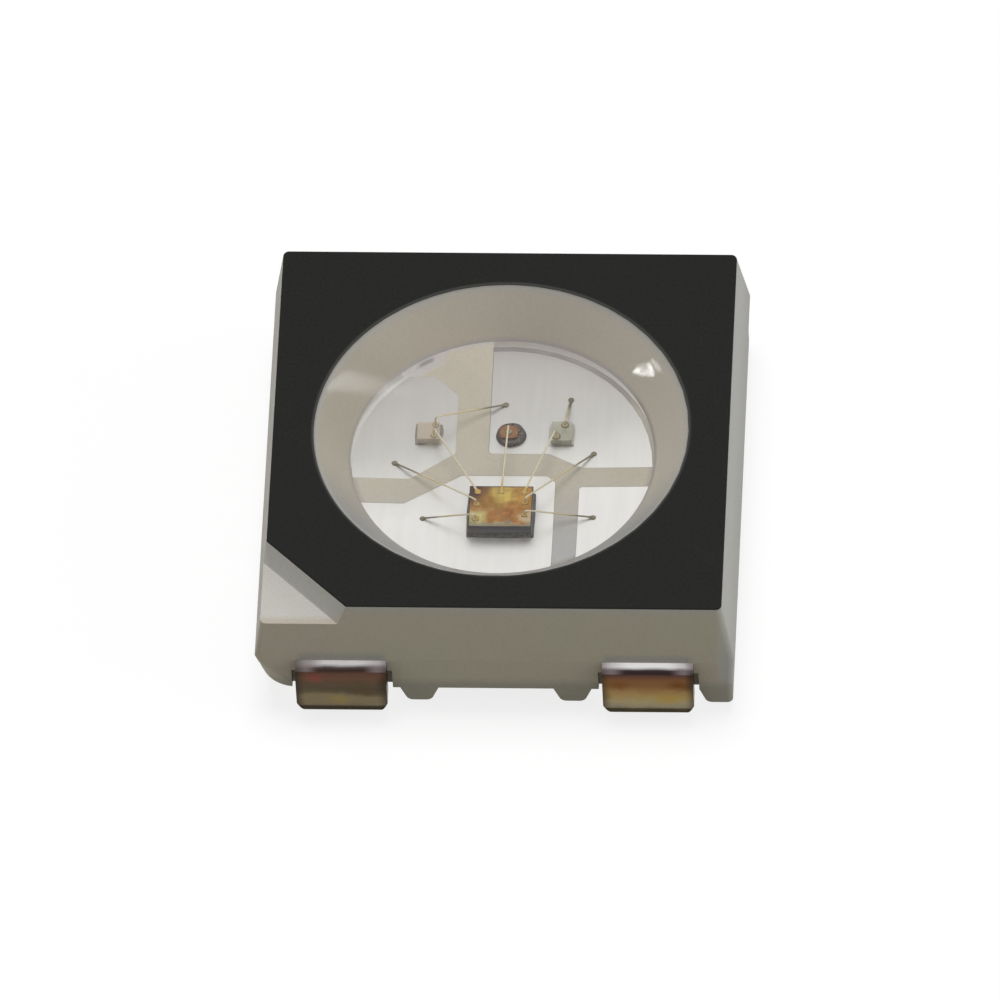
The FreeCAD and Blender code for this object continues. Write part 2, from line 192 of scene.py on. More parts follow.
# Tones of the tails by height: tarnish mixed with painted reflection, a painted dark reflection
# line under the silver of the top bend, and painted shade low down where the tail turns under
LEFT_TAIL = [
    (0.19, (72, 63, 48)), (0.235, (94, 82, 63)), (0.265, (98, 87, 66)), (0.29, (108, 96, 72)),
    (0.42, (108, 97, 72)), (0.48, (82, 72, 54)), (0.55, (72, 62, 47)), (0.64, (80, 66, 52)),
    (0.69, (92, 68, 54)), (0.735, (98, 70, 58)), (0.768, (60, 46, 42)), (0.79, (84, 74, 73)),
    (0.812, (214, 210, 210)),
]
RIGHT_TAIL = [
    (0.19, (86, 78, 58)), (0.235, (112, 101, 77)), (0.265, (118, 108, 85)),
    (0.29, (126, 117, 96)), (0.38, (140, 127, 92)), (0.46, (138, 116, 74)),
    (0.55, (126, 97, 58)), (0.62, (110, 80, 48)), (0.7, (108, 76, 50)), (0.735, (96, 68, 56)),
    (0.76, (52, 39, 41)), (0.785, (66, 54, 57)), (0.806, (242, 239, 239)),
]

# Heat stains on the tails: x and z of the middle, reach upright, colour
STAINS = [
    (-1.87, 0.7, 0.07, (116, 62, 56)), (-1.62, 0.36, 0.1, (124, 106, 58)),
    (-1.36, 0.5, 0.12, (74, 58, 36)), (1.93, 0.62, 0.1, (84, 48, 14)),
    (1.83, 0.42, 0.13, (142, 116, 40)), (1.3, 0.62, 0.1, (98, 62, 28)),
]

# Colour drifts on the driver: middle in plan, reach, colour. The pale one at the lower right, over
# the pads, is a painted highlight
FILMS = [
    (0.28, -0.66, 0.24, (190, 146, 74)), (-0.12, -0.72, 0.2, (166, 126, 62)),
    (-0.24, -0.95, 0.18, (204, 190, 128)), (0.03, -0.6, 0.2, (206, 180, 98)),
    (0.3, -0.93, 0.13, (216, 196, 160)), (-0.33, -0.53, 0.3, (76, 56, 60)),
]

# Painted shade of a groove round the cup's floor: its circle, and the shift of its left part
GROOVE_RADIUS, GROOVE_Y, GROOVE_SHIFT = 1.625, -0.12, 0.05


# Meshes

def box(node):
    """Lowest and highest corners of a CAD node."""
    return [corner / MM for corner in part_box(node)]


def cad_mesh(node, merged=lambda co: True):
    """Welded copy of a CAD node. Its flat faces are merged where merged(place)."""
    bm = bmesh.new()
    bm.from_mesh(frame["nodes"][node].data)
    bmesh.ops.scale(bm, vec=(1 / MM,) * 3, verts=bm.verts)
    bmesh.ops.remove_doubles(bm, verts=bm.verts, dist=SAME)
    points = [v for v in bm.verts if merged(v.co)]
    lines = [e for e in bm.edges if all(merged(v.co) for v in e.verts)]
    bmesh.ops.dissolve_limit(bm, angle_limit=math.radians(FLAT_TURN), verts=points, edges=lines)
    bmesh.ops.recalc_face_normals(bm, faces=bm.faces)
    return bm


def bevel(bm, width, segments, wanted):
    """Rounds the edges that turn sharply enough and that wanted(middle, edge) accepts."""
    found = []
    for edge in bm.edges:
        if len(edge.link_faces) != 2 or edge.calc_face_angle(0) < math.radians(LEAST_TURN):
            continue
        if wanted((edge.verts[0].co + edge.verts[1].co) / 2, edge):
            found.append(edge)
    bmesh.ops.bevel(
        bm, geom=found, offset=width, offset_type="OFFSET", segments=segments, profile=0.5,
        affect="EDGES", clamp_overlap=True,
    )


def cone_radius(z):
    """Radius of the cup's wall at a height."""
    return FLOOR_RADIUS + (MOUTH_RADIUS - FLOOR_RADIUS) * (z - FLOOR_Z) / (TOP_Z - FLOOR_Z)


def on_cone(co):
    return FLOOR_Z - NEAR < co.z and abs(co.xy.length - cone_radius(co.z)) < ON_CONE


def smooth_rim(bm):
    """Divides the facets of the print's opening and sets the new points on the cup's cone."""
    rings = [
        e for e in bm.edges
        if all(on_cone(v.co) for v in e.verts) and abs(e.verts[0].co.z - e.verts[1].co.z) < SAME
    ]
    made = bmesh.ops.subdivide_edges(bm, edges=rings, cuts=2, use_grid_fill=True)
    for vert in (g for g in made["geom_inner"] if isinstance(g, bmesh.types.BMVert)):
        vert.co.xy = vert.co.xy.normalized() * cone_radius(vert.co.z)


def circle(bm, radius, z, steps, centre=ORIGIN):
    """Level ring of points round an upright axis."""
    angles = [2 * math.pi * i / steps for i in range(steps)]
    places = [(radius * math.cos(a), radius * math.sin(a), z) for a in angles]
    return [bm.verts.new(centre + Vector(place)) for place in places]


def skin(bm, rings, steps):
    """Faces between rings of points, where a ring of one point is a pole."""
    for a, b in zip(rings, rings[1:]):
        for i in range(steps):
            j = (i + 1) % steps
            if len(a) == 1:
                bm.faces.new((a[0], b[i], b[j]))
            elif len(b) == 1:
                bm.faces.new((a[i], b[0], a[j]))
            else:
                bm.faces.new((a[i], b[i], b[j], a[j]))


def capped_skin(bm, rings, steps):
    """Skin over rings, closed at both ends."""
    skin(bm, rings, steps)
    bm.faces.new(rings[-1])
    bm.faces.new(rings[0][::-1])


def lathe(bm, profile, steps, centre=ORIGIN):
    """Closed surface of revolution. The profile runs from the axis back to the axis."""
    rings = []
    for radius, z in profile:
        if radius == 0:
            rings.append([bm.verts.new(centre + UP * z)])
        else:
            rings.append(circle(bm, radius, z, steps, centre))
    skin(bm, rings, steps)


def block(bm, low, high):
    """Box between two corners, as new faces."""
    corners = [
        bm.verts.new((x, y, z))
        for z in (low.z, high.z) for y in (low.y, high.y) for x in (low.x, high.x)
    ]
    sides = [(0, 2, 3, 1), (4, 5, 7, 6), (0, 1, 5, 4), (1, 3, 7, 5), (3, 2, 6, 7), (2, 0, 4, 6)]
    return [bm.faces.new([corners[i] for i in side]) for side in sides]


def add_object(name, data):
    obj = bpy.data.objects.new(name, data)
    bpy.context.scene.collection.objects.link(obj)
    return obj


def piece(bm, name, material, node=None, sharp=SHARP_TURN, weighted=True):
    """Turns a mesh into a piece of the part, in metres, riding on the body.

    Edges that turn by more than sharp degrees stay sharp. Weighted normals keep the flat faces
    beside a rounding flat.
    """
    bmesh.ops.recalc_face_normals(bm, faces=bm.faces)
    for face in bm.faces:
        face.smooth = True
    for edge in bm.edges:
        edge.smooth = edge.calc_face_angle(0) < math.radians(sharp)
    mesh = bpy.data.meshes.new(name)
    bm.to_mesh(mesh)
    bm.free()
    mesh.transform(Matrix.Scale(MM, 4))
    mesh.materials.append(material)
    obj = add_object(name, mesh)
    if weighted:
        modifier = obj.modifiers.new("flat_faces", "WEIGHTED_NORMAL")
        modifier.weight = 100
        modifier.keep_sharp = True
    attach(obj, "root")
    if node:
        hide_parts(node)


# Materials

def linear(colour):
    """Linear colour of three sRGB numbers of 0 to 255, or of one linear level."""
    if not isinstance(colour, tuple):
        return (colour, colour, colour, 1)
    shares = [c / 255 for c in colour]
    levels = [c / 12.92 if c <= 0.04045 else ((c + 0.055) / 1.055) ** 2.4 for c in shares]
    return (*levels, 1)


class Finish:
    """One material's node tree, built in few words. Textures are scaled per millimetre."""

    def __init__(self, name):
        self.material = bpy.data.materials.new(name)
        self.material.use_nodes = True
        self.tree = self.material.node_tree
        self.tree.nodes.clear()
        place = self.add("TexCoord").outputs["Object"]
        scaled = self.add("VectorMath", {0: place, "Scale": 1 / MM}, operation="SCALE")
        self.place = scaled.outputs[0]
        split = self.add("SeparateXYZ", {0: self.place})
        self.x, self.y, self.z = split.outputs

    def add(self, kind, sockets=None, **settings):
        node = self.tree.nodes.new("ShaderNode" + kind)
        for key, value in settings.items():
            setattr(node, key, value)
        for key, value in (sockets or {}).items():
            if isinstance(value, bpy.types.NodeSocket):
                self.tree.links.new(value, node.inputs[key])
            else:
                node.inputs[key].default_value = value
        return node

    def vector(self, operation, a, *rest):
        sockets = dict(enumerate((a, *rest)))
        return self.add("VectorMath", sockets, operation=operation).outputs

    def noise(self, scale, detail=3, roughness=0.55, stretch=None, distortion=0):
        place = self.vector("MULTIPLY", self.place, stretch)[0] if stretch else self.place
        sockets = {"Vector": place, "Scale": scale, "Detail": detail, "Roughness": roughness}
        sockets["Distortion"] = distortion
        return self.add("TexNoise", sockets).outputs[0]

    def ramp(self, factor, stops):
        """Colour band from (place, colour) stops."""
        node = self.add("ValToRGB", {0: factor})
        band = node.color_ramp
        while len(band.elements) < len(stops):
            band.elements.new(1)
        for element, (spot, colour) in zip(band.elements, stops):
            element.position = spot
            element.color = linear(colour)
        return node.outputs[0]

    def mix(self, factor, a, b, blend="MIX"):
        a, b = (linear(c) if isinstance(c, tuple) else c for c in (a, b))
        sockets = {"Fac": factor, "Color1": a, "Color2": b}
        return self.add("MixRGB", sockets, blend_type=blend).outputs[0]

    def math(self, operation, a, b=0.0):
        return self.add("Math", {0: a, 1: b}, operation=operation).outputs[0]

    def absolute(self, value):
        return self.math("ABSOLUTE", value)

    def product(self, first, *others):
        for other in others:
            first = self.math("MULTIPLY", first, other)
        return first

    def span(self, value, low, high, out_low=0.0, out_high=1.0):
        """Value mapped smoothly from low..high to out_low..out_high."""
        sockets = {"Value": value, "From Min": low, "From Max": high}
        sockets.update({"To Min": out_low, "To Max": out_high})
        return self.add("MapRange", sockets, interpolation_type="SMOOTHSTEP").outputs[0]

    def vary(self, texture, low, high):
        """Level that follows a texture from low to high."""
        return self.span(texture, *NOISE_BAND, low, high)

    def wander(self, texture, reach):
        """Level that follows a texture to either side of zero."""
        return self.span(texture, *WIDE_BAND, -reach, reach)

    def shades(self, texture, dark, light):
        """Colour that follows a texture from dark to light."""
        low, high = NOISE_BAND
        return self.ramp(texture, [(low, dark), (high, light)])

    def radius(self, x=0.0, y=0.0):
        """Distance in plan from a point."""
        flat = self.vector("ADD", self.place, (-x, -y, 0))[0]
        flat = self.vector("MULTIPLY", flat, (1, 1, 0))[0]
        return self.vector("LENGTH", flat)["Value"]

    def from_tail(self):
        """Distance along x from the middle of the nearest tail."""
        return self.absolute(self.math("SUBTRACT", self.absolute(self.x), TAIL_X))

    def bump(self, height, depth, normal=None):
        """Bump of a depth in millimetres, over another where one is given."""
        sockets = {"Height": height, "Distance": depth * MM, "Strength": 1.0}
        if normal:
            sockets["Normal"] = normal
        return self.add("Bump", sockets).outputs[0]

    def plain(self, colour, roughness, normal=None, **sockets):
        """Principled shader. Other sockets are given by name, with _ for a space."""
        values = {"Base Color": colour, "Roughness": roughness}
        if normal:
            values["Normal"] = normal
        values.update({key.replace("_", " "): value for key, value in sockets.items()})
        return self.add("BsdfPrincipled", values).outputs[0]

    def blend(self, share, a, b):
        """Mix of two shaders, where a share of 1 is all b."""
        return self.add("MixShader", {0: share, 1: a, 2: b}).outputs[0]

    def surface(self, shader):
        self.add("OutputMaterial", {"Surface": shader})
        return self.material


def resin_outside(f, clouds):
    """Outer sides, with painted light and shade: painted warm shade on the front, painted cool
    light on the right with painted shade low on it, painted shade low on the ends, a painted
    contact shadow over the tails, and painted shade on the notch wall.
    """
    tone = f.ramp(clouds, [(0.3, (196, 194, 187)), (0.5, (204, 202, 196)), (0.7, (209, 207, 202))])
    drift = f.noise(1.4, 2)
    casts = f.ramp(drift, [(0.35, (204, 206, 190)), (0.65, (212, 200, 196))])
    tone = f.mix(0.3, tone, casts)

    # Painted shade on the front face: darker and warmer, cooler near its top.
    front = f.span(f.y, -2.3, -2.4)
    front_top = f.span(f.z, 1.44, 1.57, 0, 0.7)
    front_shade_tone = f.ramp(drift, [(0.35, (192, 189, 171)), (0.65, (196, 187, 173))])
    tone = f.mix(front, tone, f.mix(front_top, front_shade_tone, (190, 189, 185)))

    # Painted cooler light on the right side, and painted shade low down on it.
    right = f.span(f.x, 2.3, 2.4)
    right_foot_shade = f.product(right, f.span(f.z, 1.35, 0.75))
    tone = f.mix(f.product(right, 0.6), tone, (204, 207, 207))
    tone = f.mix(right_foot_shade, tone, (190, 190, 187))

    # Painted shade low down on the front and back faces.
    ends = f.span(f.absolute(f.y), 2.36, 2.4)
    low_end_shade = f.product(ends, f.span(f.z, 0.56, 0.36, 0, 0.8))
    tone = f.mix(low_end_shade, tone, (160, 157, 146))
    # Painted contact shadow on the front and back faces just over the tails.
    shadow_strip = f.product(f.span(f.z, 0.97, 0.88, 0, 0.6), f.span(f.z, 0.83, 0.85))
    tail_contact_shadow = f.product(f.span(f.from_tail(), 0.5, 0.4), shadow_strip, ends)
    tone = f.mix(tail_contact_shadow, tone, (160, 162, 165))

    # Painted shade on the notch wall above the ledge.
    notch_shade = f.span(f.math("ADD", f.x, f.y), -3.6, -3.75)
    above_ledge = f.span(f.z, 1.345, 1.365)
    within_sides = f.span(f.math("MINIMUM", f.x, f.y), -2.4, -2.36)
    return f.mix(f.product(notch_shade, above_ledge, within_sides), tone, (194, 193, 187))


def resin_in_cup(f, clouds):
    """Cup wall and floor, with painted light and shade: cool painted shade on the front side of the
    cup, painted light on the far side and its right and far walls, a painted lighter band below the
    rim, and painted shade under the print's edge and at the wall's foot.
    """
    # Painted shade on the front side of the cup, cool on the floor and darker on the wall.
    on_wall = f.span(f.z, 0.86, 0.89)
    near = f.shades(clouds, (178, 177, 175), (188, 187, 185))
    near_wall_shade = f.shades(clouds, (158, 157, 155), (168, 167, 165))
    near = f.mix(on_wall, near, near_wall_shade)
    # Painted light on the far side of the cup: warmer, and lighter still on its right and far
    # walls.
    far = f.shades(clouds, (188, 181, 164), (198, 191, 176))
    right_wall_light = f.product(f.span(f.x, 0, 1.3, 0, 0.8), on_wall)
    far = f.mix(right_wall_light, far, (212, 205, 190))
    far_wall_light = f.product(f.span(f.y, 0.9, 1.6, 0, 0.5), on_wall)
    far = f.mix(far_wall_light, far, (212, 202, 187))
    tone = f.mix(f.span(f.y, -1.3, -0.2), near, far)

    # Painted lighter band below the rim, and painted shade just under the print's edge.
    rim, lip = f.span(f.z, 1.46, 1.56, 0, 0.5), f.span(f.z, 1.55, 1.59, 0, 0.45)
    tone = f.mix(rim, tone, (190, 192, 190))
    tone = f.mix(lip, tone, (110, 110, 108))

    # Painted shade at the wall's foot, where it meets the floor, lighter towards the back.
    wall_foot_shade = f.product(f.span(f.radius(), 1.54, 1.6), f.span(f.z, 0.94, 0.86))
    foot_shade_tone = f.mix(f.span(f.y, 0.7, 1.0), (174, 168, 160), (192, 186, 182))
    tone = f.mix(wall_foot_shade, tone, foot_shade_tone)

    on_floor = f.span(f.z, 0.875, 0.865)
    left_far = f.product(f.span(f.x, -0.6, -0.75), f.span(f.y, -0.2, -0.12))
    sliver = f.product(f.span(f.radius(), 1.42, 1.47), on_floor, left_far)
    sliver_tone = f.mix(f.span(f.y, 0.9, 1.25), (204, 202, 198), (192, 187, 185))
    return f.mix(sliver, tone, sliver_tone)


def groove_shade_mask(f):
    """Painted shade of a groove round the cup's floor: a long arc on the right and a short smear on
    the left.
    """
    def off_circle(y):
        return f.absolute(f.math("SUBTRACT", f.radius(0, y), GROOVE_RADIUS))

    uneven = f.span(f.noise(1.7, 1), 0.3, 0.6, 0.7, 1)
    right = f.product(f.span(f.x, -0.17, -0.155), f.span(f.x, 1.46, 1.3), uneven)
    left = f.product(f.span(f.x, -0.98, -0.9), f.span(f.x, -0.76, -0.82, 0, 0.9))
    right = f.product(f.span(off_circle(GROOVE_Y), 0.036, 0.02), right)
    left = f.product(f.span(off_circle(GROOVE_Y + GROOVE_SHIFT), 0.04, 0.015), left)
    on_floor = f.span(f.z, 0.87, 0.86)
    return f.product(f.math("ADD", right, left), on_floor)


def resin():
    """Moulded white resin, with faint flow clouds, specks and a fine mould texture, and painted
    light and shade on its outer sides, in its cup and in a groove round the cup's floor.
    """
    f = Finish("white_resin")
    clouds = f.noise(0.9, 4, 0.6)
    in_cup = f.product(f.span(f.radius(), CUP_REACH, CUP_REACH - 0.01), f.span(f.z, 0.8, 0.84))
    colour = f.mix(in_cup, resin_outside(f, clouds), resin_in_cup(f, clouds))
    # Painted shade of the groove round the cup's floor.
    colour = f.mix(groove_shade_mask(f), colour, (148, 143, 142))
    specks = f.ramp(f.noise(38, 2), [(0.25, 0.93), (0.5, 1.0), (0.8, 1.03)])
    colour = f.mix(1.0, colour, specks, "MULTIPLY")
    grain = f.noise(22, 4, 0.6)
    normal = f.bump(grain, 0.0022, f.bump(f.noise(2.2, 2), 0.004))
    roughness = f.vary(grain, 0.5, 0.66)
    return f.surface(f.plain(colour, roughness, normal, Specular_IOR_Level=0.32))


def print_ink():
    """Matte black print with a mottled coat and fine pits, lighter grey round its opening."""
    f = Finish("black_print")
    coat = f.noise(1.6, 5, 0.65)
    colour = f.ramp(coat, [(0.3, (25, 26, 24)), (0.5, (30, 31, 29)), (0.72, (36, 37, 34))])
    specks = f.ramp(f.noise(30, 2), [(0.3, 0.8), (0.55, 1.0), (0.75, 1.25)])
    colour = f.mix(1.0, colour, specks, "MULTIPLY")
    rim = f.span(f.radius(), MOUTH_RADIUS + 0.03, MOUTH_RADIUS - 0.01, 0, 0.5)
    colour = f.mix(rim, colour, (104, 104, 100))
    normal = f.bump(f.noise(26, 3, 0.6), 0.003, f.bump(f.noise(3.5, 3), 0.006))
    roughness = f.vary(coat, 0.55, 0.72)
    return f.surface(f.plain(colour, roughness, normal, Specular_IOR_Level=0.2))


def clear_resin():
    """Clear fill: it bends what the camera sees, and lets lamps through to what it covers."""
    f = Finish("clear_fill")
    ripples = f.bump(f.noise(1.1, 2), 0.0016)
    glass = f.plain((1, 1, 1, 1), 0.03, ripples, IOR=1.41, Transmission_Weight=1.0)
    path = f.add("LightPath").outputs
    through = f.math("MAXIMUM", path["Is Shadow Ray"], path["Is Diffuse Ray"])
    through = f.math("MAXIMUM", through, path["Is Glossy Ray"])
    return f.surface(f.blend(through, glass, f.add("BsdfTransparent").outputs[0]))


def island_silver(f, rolled):
    """Silver of the islands, with painted shade that darkens it towards the back and the left."""
    silver = f.shades(rolled, (244, 242, 237), (253, 251, 247))
    slope = f.math("ADD", f.product(f.x, 0.25), f.product(f.y, -1))
    clouds = f.wander(f.noise(1.3, 3), 0.12)
    shade = f.ramp(f.span(f.math("ADD", slope, clouds), -1.6, 1.4), [
        (0.0, (208, 205, 204)), (0.4, (222, 222, 221)), (0.62, (240, 240, 239)), (0.85, 1.0),
    ])
    return f.mix(1.0, silver, shade, "MULTIPLY")


def tail_tarnish_and_reflections(f):
    """Tails: bands of tarnish and painted reflection that wander with height, stains over them,
    painted shade at the ends of the top bend's bright band, darker edges.
    """
    wander = f.wander(f.noise(2.6, 3, distortion=0.6), 0.03)
    height = f.math("ADD", f.z, f.product(wander, f.span(f.z, 0.74, 0.6, 0.15, 1)))
    tint = f.mix(f.span(f.x, -0.1, 0.1), f.ramp(height, LEFT_TAIL), f.ramp(height, RIGHT_TAIL))

    off_middle = f.from_tail()
    # Painted shade at the ends of the bright band on the top bend, and towards the left end of the
    # left tail's band.
    line = f.product(f.span(f.z, 0.745, 0.76), f.span(f.z, 0.806, 0.786))
    bend_end_shade = f.product(line, f.span(off_middle, 0.22, 0.38, 0, 0.7))
    tint = f.mix(bend_end_shade, tint, (140, 128, 128))
    band = f.span(f.z, 0.782, 0.802)
    highlight_end_shade = f.product(band, f.span(off_middle, 0.16, 0.46, 0, 0.6))
    tint = f.mix(highlight_end_shade, tint, (156, 146, 146))
    highlight_left_shade = f.product(band, f.span(f.x, -1.75, -1.95, 0, 0.7))
    tint = f.mix(highlight_left_shade, tint, (136, 128, 124))

    for x, z, reach, stain in STAINS:
        across, up = f.math("SUBTRACT", f.x, x), f.math("SUBTRACT", height, z)
        apart = f.add("CombineXYZ", {0: across, 1: up}).outputs[0]
        distance = f.vector("LENGTH", f.vector("MULTIPLY", apart, (0.5, 1, 1))[0])["Value"]
        tint = f.mix(f.span(distance, reach, 0, 0, 0.7), tint, stain)

    edges = f.span(f.math("ADD", off_middle, wander), 0.36, 0.48)
    below_bend = f.span(f.z, 0.8, 0.74)
    edge_share = f.mix(below_bend, f.product(edges, 0.5), f.product(edges, 0.75))
    return f.mix(edge_share, tint, (44, 38, 28))


def plating():
    """Silver plate: rolled sheen and painted shade on the islands, tarnished tails with painted
    reflections, and a dull dark foot in painted shade.
    """
    f = Finish("silver_plate")
    rolled = f.noise(7, 4, 0.6, stretch=(1, 0.12, 1))
    outside = f.span(f.absolute(f.y), 2.38, 2.45)
    colour = f.mix(outside, island_silver(f, rolled), tail_tarnish_and_reflections(f))
    island_gloss = f.vary(rolled, 0.3, 0.4)
    tail_gloss = f.vary(rolled, 0.24, 0.34)
    dull = f.product(outside, f.span(f.z, 0.285, 0.24))
    roughness = f.mix(outside, island_gloss, tail_gloss)
    roughness = f.math("MAXIMUM", roughness, f.product(dull, 0.85))
    normal = f.bump(rolled, 0.0012, f.bump(f.noise(2.0, 2), 0.005))
    bright = f.math("SUBTRACT", 1, dull)
    return f.surface(f.plain(colour, roughness, normal, Metallic=bright, Specular_IOR_Level=0.1))


def gold():
    """Drawn gold wire: paler in its loops, painted shade at the stitches, warm balls on the driver.
    """
    f = Finish("gold_wire")
    drawn = f.noise(60, 3)
    colour = f.shades(drawn, (212, 202, 174), (234, 224, 198))
    colour = f.mix(f.span(f.z, 1.1, 1.2, 0.6, 0), colour, (222, 204, 160))
    # Painted shade on the low ends of the wires, at the stitches.
    colour = f.mix(f.span(f.z, 1.03, 0.95), colour, (146, 138, 118))
    on_driver = f.span(f.radius(0.02, -0.76), 0.36, 0.33)
    balls = f.product(f.span(f.z, 1.12, 1.13), f.span(f.z, 1.165, 1.15), on_driver)
    colour = f.mix(balls, colour, (200, 168, 98))
    return f.surface(f.plain(colour, f.vary(drawn, 0.35, 0.5), Metallic=0.45))


def pad_metal():
    """Worn metal of the bond pads and electrodes."""
    f = Finish("pad_metal")
    worn = f.noise(45, 3)
    colour = f.shades(worn, (114, 106, 84), (150, 138, 110))
    return f.surface(f.plain(colour, f.vary(worn, 0.3, 0.5), Metallic=1.0))


def driver_top():
    """Circuit side of the driver: thin films whose colour drifts across the die, and a painted
    highlight by its lower right pads.
    """
    f = Finish("driver_circuit")
    tone = f.add("Attribute", attribute_name="tone").outputs["Fac"]
    drift = f.noise(3.4, 2, distortion=0.8)
    colour = f.ramp(drift, [(0.3, (148, 102, 66)), (0.5, (170, 116, 58)), (0.7, (174, 130, 82))])
    wander = f.wander(f.noise(7, 2), 0.05)
    for x, y, reach, film in FILMS:
        distance = f.math("ADD", f.radius(x, y), wander)
        colour = f.mix(f.span(distance, reach, reach * 0.3, 0, 0.9), colour, film)
    front_edge = f.span(f.math("ADD", f.y, wander), -0.98, -1.04, 0, 0.8)
    colour = f.mix(front_edge, colour, (152, 148, 124))
    level = f.ramp(tone, [(0.0, 0.8), (0.5, 0.98), (1.0, 1.12)])
    colour = f.mix(1.0, colour, level, "MULTIPLY")
    normal = f.bump(f.noise(70, 2), 0.0006)
    return f.surface(f.plain(colour, 0.38, normal, Metallic=0.35, Specular_IOR_Level=0.25))


def silicon():
    """Sawn sides of the driver: dark grey with saw lines."""
    f = Finish("driver_silicon")
    sawn = f.noise(40, 3, 0.6, stretch=(0.15, 0.15, 1))
    colour = f.shades(sawn, (50, 48, 50), (84, 80, 82))
    roughness = f.vary(sawn, 0.3, 0.5)
    return f.surface(f.plain(colour, roughness, f.bump(sawn, 0.002), Metallic=0.3))


def sapphire(name, clear, tinted):
    """Clear die with a milky look, part of the plate under it showing through."""
    f = Finish(name)
    milk = f.noise(16, 3)
    colour = f.shades(milk, clear, tinted)
    body = f.plain(colour, 0.25, Specular_IOR_Level=0.7, Coat_Weight=0.3)
    through = f.add("BsdfTransparent", {0: (0.97, 0.96, 0.93, 1)}).outputs[0]
    return f.surface(f.blend(f.span(milk, 0.2, 0.8, 0.4, 0.6), through, body))


def red_chip():
    """Opaque die: orange window on top, dark sawn sides."""
    f = Finish("red_chip")
    grain = f.noise(40, 3)
    top = f.shades(grain, (128, 92, 62), (156, 114, 78))
    side = f.shades(grain, (76, 60, 64), (104, 84, 84))
    colour = f.mix(f.span(f.z, 0.935, 0.954), side, top)
    window_edge = f.span(f.radius(0.055, 0.32), 0.075, 0.11, 0, 0.7)
    colour = f.mix(window_edge, colour, (84, 70, 58))
    return f.surface(f.plain(colour, f.vary(grain, 0.3, 0.5), f.bump(grain, 0.0015)))


def silver_epoxy():
    """Die-attach paste: flakes of silver in dull resin."""
    f = Finish("silver_adhesive")
    flakes = f.add("TexVoronoi", {"Vector": f.place, "Scale": 70.0}).outputs["Distance"]
    colour = f.ramp(flakes, [(0.1, (156, 152, 148)), (0.45, (112, 104, 100)), (0.8, (76, 70, 70))])
    normal = f.bump(f.noise(30, 4, 0.6), 0.005)
    return f.surface(f.plain(colour, f.span(flakes, 0.1, 0.6, 0.35, 0.6), normal, Metallic=0.5))


def clear_glue():
    """Clear die-attach adhesive, thinly clouded."""
    f = Finish("clear_adhesive")
    thick = f.noise(14, 3)
    colour = f.shades(thick, (206, 198, 178), (228, 224, 212))
    roughness = f.vary(thick, 0.2, 0.35)
    body = f.plain(colour, roughness, f.bump(thick, 0.003), Coat_Weight=0.4)
    return f.surface(f.blend(0.16, f.add("BsdfTransparent").outputs[0], body))


# Housing, print and leads

def shell_edge(co, edge):
    """Edges of the package outside, clear of the print, the ribs' feet and the leads' pockets."""
    outside = co.xy.length > OUTSIDE_REACH or co.z < UNDERSIDE_Z
    within = SHELL_LOW_Z < co.z < SHELL_HIGH_Z
    return outside and within and edge.calc_length() > LEAST_SHELL_EDGE


def rib_edge(co, edge):
    """Long edges along the foot of each rib, but for those flush with the side walls."""
    at_foot = co.z < RIB_FOOT_Z + NEAR and abs(co.x) < SIDE_X
    return at_foot and edge.calc_length() > LEAST_RIB_EDGE


def housing():
    """Moulded body with rounded edges, and a smooth lining in front of its faceted cup."""
    finish = resin()
    bm = cad_mesh("housing", lambda co: co.xy.length > CUP_REACH or co.z < UNDERSIDE_Z)
    bevel(bm, *RIB_ROUND, rib_edge)
    bevel(bm, *SHELL_ROUND, shell_edge)
    piece(bm, "housing_shell", finish, "housing")
    top_z, foot_z = TOP_Z - LINING_BELOW_PRINT, FLOOR_Z - SET_IN
    lining = [
        (foot_z, -LINING), (LINING_THINS_Z, -LINING), (top_z, -LINING_TOP), (top_z, LINING_BACK),
        (foot_z, LINING_BACK),
    ]
    bm = bmesh.new()
    rings = [circle(bm, cone_radius(z) + out, z, ROUND_STEPS) for z, out in lining]
    skin(bm, rings + rings[:1], ROUND_STEPS)
    piece(bm, "cup_wall", finish, weighted=False)


def top_print():
    """Print on the top face, with a round opening and softened upper edges."""
    bm = cad_mesh("top_mask")
    smooth_rim(bm)
    bevel(bm, *PRINT_ROUND, lambda co, edge: co.z > TOP_Z - NEAR)
    piece(bm, "top_print", print_ink(), "top_mask")


def tail_edge(co, edge):
    """Edges of the tails outside the housing."""
    return abs(co.y) > TAIL_Y and edge.calc_length() > LEAST_TAIL_EDGE


def island_edge(co, edge):
    """Upper edges of the islands on the cup's floor."""
    return co.z > FLOOR_Z - NEAR and co.xy.length < ISLAND_REACH


def leads():
    """The four leads, each with its island and its tail."""
    finish = plating()
    for name in ("lead_dout", "lead_vdd", "lead_gnd", "lead_din"):
        bm = cad_mesh(name)
        bevel(bm, *TAIL_ROUND, tail_edge)
        bevel(bm, *ISLAND_ROUND, island_edge)
        piece(bm, name + "_plated", finish, name)


# Clear fill

def fill_height(radius):
    """Height of the fill's hollow surface, drawn up in a lip where it wets the wall."""
    edge = cone_radius(FILL_EDGE_Z)
    curve = (edge ** 2 + FILL_SAG ** 2) / (2 * FILL_SAG)
    dish = FILL_EDGE_Z - FILL_SAG + curve - math.sqrt(curve ** 2 - radius ** 2)
    return dish - LIP_HEIGHT + LIP_HEIGHT * math.exp((radius - edge) / LIP_REACH)


